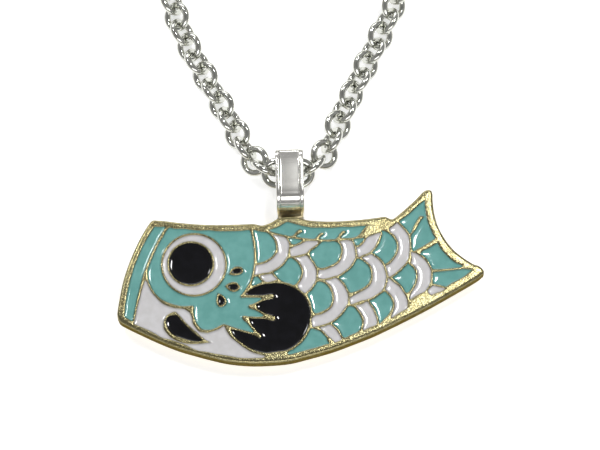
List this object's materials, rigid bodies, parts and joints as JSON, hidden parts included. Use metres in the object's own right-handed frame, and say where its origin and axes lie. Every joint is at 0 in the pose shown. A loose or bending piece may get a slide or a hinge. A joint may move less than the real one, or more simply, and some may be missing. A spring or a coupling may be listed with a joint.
{
  "type": "pendant necklace",
  "caption": "Flat carp-shaped pendant of struck brass with enamel cells, glued to a loop bail that swings on a rolo chain with a lobster clasp.",
  "frame": {"origin": "centre of the pendant's outline box, on the table plane under its glued bail strap", "axes": "+X along the carp from mouth to tail, +Y towards the bail, +Z out of the enamelled face"},
  "size_m": [0.043, 0.0855, 0.0056],
  "materials": {
    "brass": "die-struck, fine sandblast grain, slightly aged",
    "teal_enamel": "glossy soft enamel with a raised meniscus",
    "white_enamel": "glossy soft enamel",
    "black_enamel": "glossy soft enamel",
    "bail_metal": "polished, rhodium-like plating",
    "adhesive": "clear, slightly yellow epoxy film",
    "chain_metal": "polished silver-coloured steel",
    "clasp_metal": "polished silver-coloured steel"
  },
  "bodies": {
    "chain": {"chain_run_left": "chain_metal", "chain_run_right": "chain_metal", "chain_coil": "chain_metal", "chain_tail_left": "chain_metal", "chain_tail_right": "chain_metal"},
    "held_link": {"bail_link": "chain_metal"},
    "pendant": {"carp_plate": "brass", "enamel_teal_mouth_band": "teal_enamel", "enamel_teal_head": "teal_enamel", "enamel_teal_scale_a": "teal_enamel", "enamel_teal_scale_b": "teal_enamel", "enamel_teal_scale_c": "teal_enamel", "enamel_teal_scale_d": "teal_enamel", "enamel_teal_scale_e": "teal_enamel", "enamel_teal_scale_f": "teal_enamel", "enamel_teal_scale_g": "teal_enamel", "enamel_teal_scale_h": "teal_enamel", "enamel_teal_scale_i": "teal_enamel", "enamel_teal_scale_j": "teal_enamel", "enamel_teal_chip_a": "teal_enamel", "enamel_teal_chip_b": "teal_enamel", "enamel_teal_chip_c": "teal_enamel", "enamel_teal_dorsal": "teal_enamel", "enamel_teal_tail_a": "teal_enamel", "enamel_teal_tail_b": "teal_enamel", "enamel_teal_tail_c": "teal_enamel", "enamel_black_pupil": "black_enamel", "enamel_black_spot_a": "black_enamel", "enamel_black_spot_b": "black_enamel", "enamel_black_spot_c": "black_enamel", "enamel_black_mouth": "black_enamel", "enamel_black_fin": "black_enamel", "enamel_white_band_a": "white_enamel", "enamel_white_band_b": "white_enamel", "enamel_white_band_c": "white_enamel", "enamel_white_band_d": "white_enamel", "enamel_white_band_e": "white_enamel", "enamel_white_band_f": "white_enamel", "enamel_white_band_g": "white_enamel", "enamel_white_band_h": "white_enamel", "enamel_white_band_i": "white_enamel", "enamel_white_band_j": "white_enamel", "enamel_white_band_k": "white_enamel", "enamel_white_band_l": "white_enamel", "enamel_white_band_m": "white_enamel", "enamel_white_chip": "white_enamel", "enamel_white_jaw": "white_enamel", "enamel_white_eye": "white_enamel", "bail": "bail_metal", "bail_adhesive": "adhesive"},
    "clasp_loop": {"clasp_ring": "clasp_metal"},
    "clasp": {"clasp_body": "clasp_metal", "clasp_rivet": "clasp_metal", "clasp_spring": "clasp_metal"},
    "lever": {"clasp_lever": "clasp_metal"},
    "end_loop": {"end_ring": "clasp_metal"}
  },
  "joints": [
    {"name": "pendant_turn", "type": "hinge", "parent": "chain", "child": "held_link", "pos_m": [-0.00085, 0.01025, 0.00267], "axis": [0, 0, 1], "range_deg": [-4, 4]},
    {"name": "pendant_swing", "type": "hinge", "parent": "held_link", "child": "pendant", "pos_m": [-0.00085, 0.01025, 0.00267], "axis": [-1, 0, 0], "range_deg": [0, 160]},
    {"name": "clasp_ring_turn", "type": "hinge", "parent": "chain", "child": "clasp_loop", "pos_m": [-0.00128, 0.04557, 0.00145], "axis": [0, 0, 1], "range_deg": [-4, 4]},
    {"name": "clasp_swivel", "type": "hinge", "parent": "clasp_loop", "child": "clasp", "pos_m": [-0.0026, 0.04745, 0.0012], "axis": [0, 0, 1], "range_deg": [-12, 12]},
    {"name": "clasp_lever_press", "type": "hinge", "parent": "clasp", "child": "lever", "pos_m": [-0.00324, 0.05036, 0.0012], "axis": [0, 0, 1], "range_deg": [0, 22], "stiffness_Nm_per_rad": 0.0008, "springref_deg": -11.46},
    {"name": "end_ring_turn", "type": "hinge", "parent": "chain", "child": "end_loop", "pos_m": [0.001, 0.061, 0.0012], "axis": [0, 0, 1], "range_deg": [-15, 15]}
  ]
}
